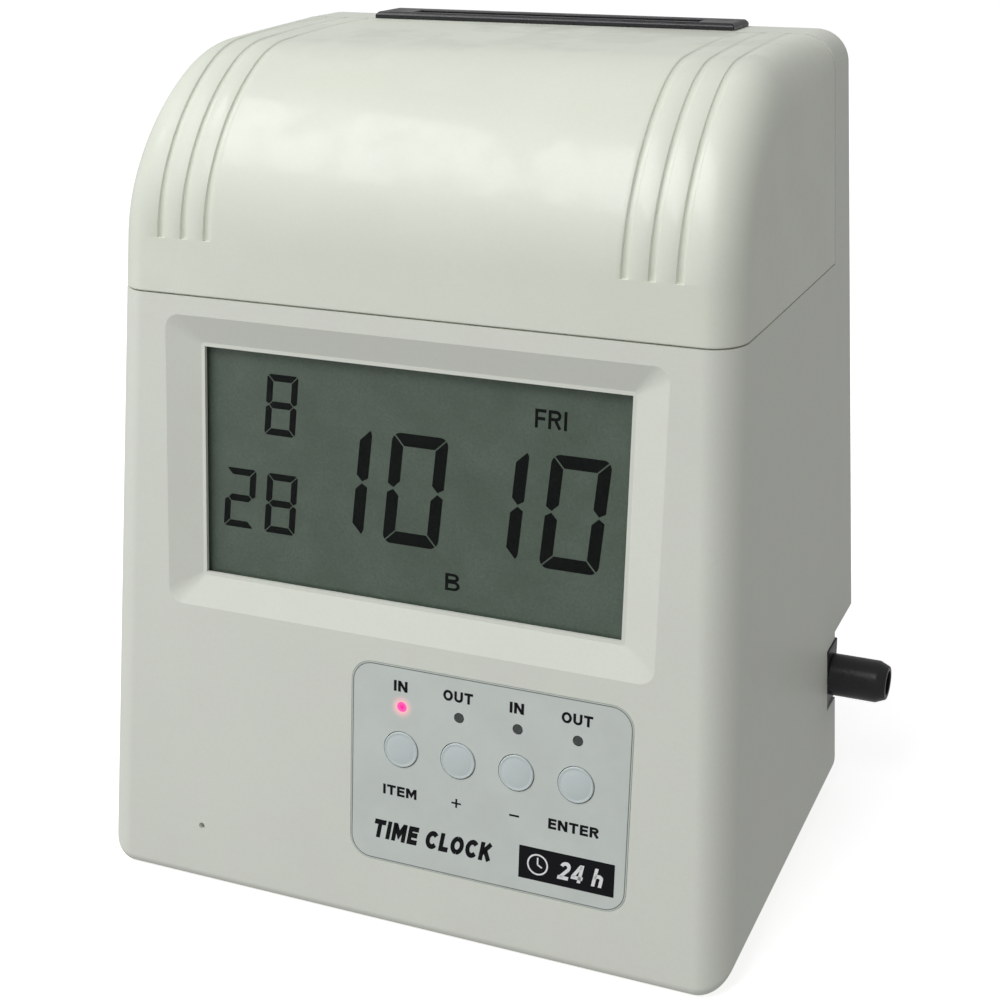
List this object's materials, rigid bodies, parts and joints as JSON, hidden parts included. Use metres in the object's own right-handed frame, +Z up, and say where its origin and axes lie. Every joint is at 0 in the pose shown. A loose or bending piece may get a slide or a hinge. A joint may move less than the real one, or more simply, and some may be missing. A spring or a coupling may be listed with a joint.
{
  "type": "punch time clock",
  "caption": "Ivory punch time clock with a leaning front, wide display, round keys, lift-off grooved hood and a card slot in the roof over a rear chute.",
  "frame": {"origin": "on the underside, midway between the sides and near the middle of the depth", "axes": "+X to the right of someone facing the display, +Y to the rear, +Z up"},
  "size_m": [0.1992, 0.137, 0.2253],
  "materials": {
    "ivory_case": "moulded ivory ABS, satin",
    "ivory_hood": "moulded ivory ABS, glossy",
    "black_plastic": "fine textured black",
    "clear_window": "clear polished acrylic",
    "lcd_glass": "grey green liquid crystal",
    "board_green": "lacquered circuit board",
    "panel_film": "pale printed film",
    "key_film": "embossed film key",
    "lit_red": "lit red lamp",
    "dark_lamp": "unlit lamp",
    "steel_sheet": "zinc plated sheet",
    "bright_steel": "ground steel",
    "head_metal": "die cast",
    "roller_rubber": "ground rubber",
    "gear_nylon": "natural nylon",
    "brass_part": "turned",
    "ribbon_cloth": "inked nylon ribbon",
    "copper_winding": "varnished laminations",
    "battery_wrap": "shrink film"
  },
  "bodies": {
    "root": {"front_case": "ivory_case", "rear_housing": "ivory_case", "slot_bezel": "black_plastic", "display_window": "clear_window", "lcd_panel": "lcd_glass", "lcd_holder": "black_plastic", "lcd_board": "board_green", "key_panel": "panel_film", "key_board": "board_green", "key_switches": "black_plastic", "lit_lamp": "lit_red", "unlit_lamps": "dark_lamp", "sounder": "black_plastic", "left_side_plate": "steel_sheet", "right_side_plate": "steel_sheet", "printer_deck": "steel_sheet", "guide_rods": "bright_steel", "carriage_motor": "steel_sheet", "chute_front": "steel_sheet", "chute_back": "steel_sheet", "platen": "roller_rubber", "feed_motor": "steel_sheet", "pinch_pivot": "bright_steel", "ribbon_cassette": "black_plastic", "cassette_lid": "black_plastic", "ink_ribbon": "ribbon_cloth", "lock_barrel": "bright_steel", "gland_block": "black_plastic", "gland_sleeve": "black_plastic", "main_board": "board_green", "board_parts": "black_plastic", "transformer": "copper_winding", "battery_pack": "battery_wrap", "rubber_feet": "roller_rubber", "case_screws": "bright_steel"},
    "hood_body": {"hood": "ivory_hood", "latch_keeper": "steel_sheet"},
    "item_key_body": {"item_key": "key_film"},
    "plus_key_body": {"plus_key": "key_film"},
    "minus_key_body": {"minus_key": "key_film"},
    "enter_key_body": {"enter_key": "key_film"},
    "screw_body": {"lead_screw": "bright_steel"},
    "carriage_body": {"print_carriage": "black_plastic", "print_head": "head_metal"},
    "feed_body": {"feed_shaft": "bright_steel", "feed_rollers": "roller_rubber", "feed_gear": "gear_nylon"},
    "pinion_body": {"motor_pinion": "brass_part"},
    "pinch_body": {"pinch_arm": "steel_sheet", "pinch_axle": "bright_steel"},
    "pinch_roller_body": {"pinch_rollers": "roller_rubber"},
    "supply_body": {"supply_spool": "ribbon_cloth"},
    "takeup_body": {"takeup_spool": "ribbon_cloth"},
    "lock_body": {"lock_plug": "bright_steel", "lock_cam": "steel_sheet"}
  },
  "joints": [
    {"name": "hood_lift", "type": "slide", "parent": "root", "child": "hood_body", "axis": [0, 0, 1], "range_m": [0, 0.09]},
    {"name": "item_press", "type": "slide", "parent": "root", "child": "item_key_body", "axis": [0, 0.9916, -0.1291], "range_m": [0, 0.0005], "stiffness_N_per_m": 400},
    {"name": "plus_press", "type": "slide", "parent": "root", "child": "plus_key_body", "axis": [0, 0.9916, -0.1291], "range_m": [0, 0.0005], "stiffness_N_per_m": 400},
    {"name": "minus_press", "type": "slide", "parent": "root", "child": "minus_key_body", "axis": [0, 0.9916, -0.1291], "range_m": [0, 0.0005], "stiffness_N_per_m": 400},
    {"name": "enter_press", "type": "slide", "parent": "root", "child": "enter_key_body", "axis": [0, 0.9916, -0.1291], "range_m": [0, 0.0005], "stiffness_N_per_m": 400},
    {"name": "screw_turn", "type": "hinge", "parent": "root", "child": "screw_body", "pos_m": [0, 0.025, 0.174], "axis": [1, 0, 0], "range_deg": [0, 2250]},
    {"name": "carriage_travel", "type": "slide", "parent": "root", "child": "carriage_body", "axis": [1, 0, 0], "range_m": [0, 0.05]},
    {"name": "feed_turn", "type": "hinge", "parent": "root", "child": "feed_body", "pos_m": [0, 0.0415, 0.156], "axis": [1, 0, 0], "continuous": true},
    {"name": "pinion_turn", "type": "hinge", "parent": "root", "child": "pinion_body", "pos_m": [0, 0.02764, 0.14214], "axis": [1, 0, 0], "continuous": true},
    {"name": "pinch_swing", "type": "hinge", "parent": "root", "child": "pinch_body", "pos_m": [0, 0.0596, 0.126], "axis": [1, 0, 0], "range_deg": [0, 14.5], "stiffness_Nm_per_rad": 0.05, "springref_deg": -11.46},
    {"name": "pinch_roller_turn", "type": "hinge", "parent": "pinch_body", "child": "pinch_roller_body", "pos_m": [0, 0.0596, 0.156], "axis": [1, 0, 0], "continuous": true},
    {"name": "takeup_turn", "type": "hinge", "parent": "root", "child": "takeup_body", "pos_m": [0.027, -0.001, 0.181], "axis": [0, 0, 1], "continuous": true},
    {"name": "supply_turn", "type": "hinge", "parent": "root", "child": "supply_body", "pos_m": [-0.027, -0.001, 0.181], "axis": [0, 0, 1], "continuous": true},
    {"name": "lock_turn", "type": "hinge", "parent": "root", "child": "lock_body", "pos_m": [-0.08564, 0.004, 0.146], "axis": [1, 0, 0], "range_deg": [0, 90]}
  ],
  "couplings": [
    {"joint": "carriage_travel", "follows": "screw_turn", "m_per_rad": 0.0012732},
    {"joint": "pinion_turn", "follows": "feed_turn", "ratio": -3},
    {"joint": "supply_turn", "follows": "takeup_turn", "ratio": 1}
  ]
}
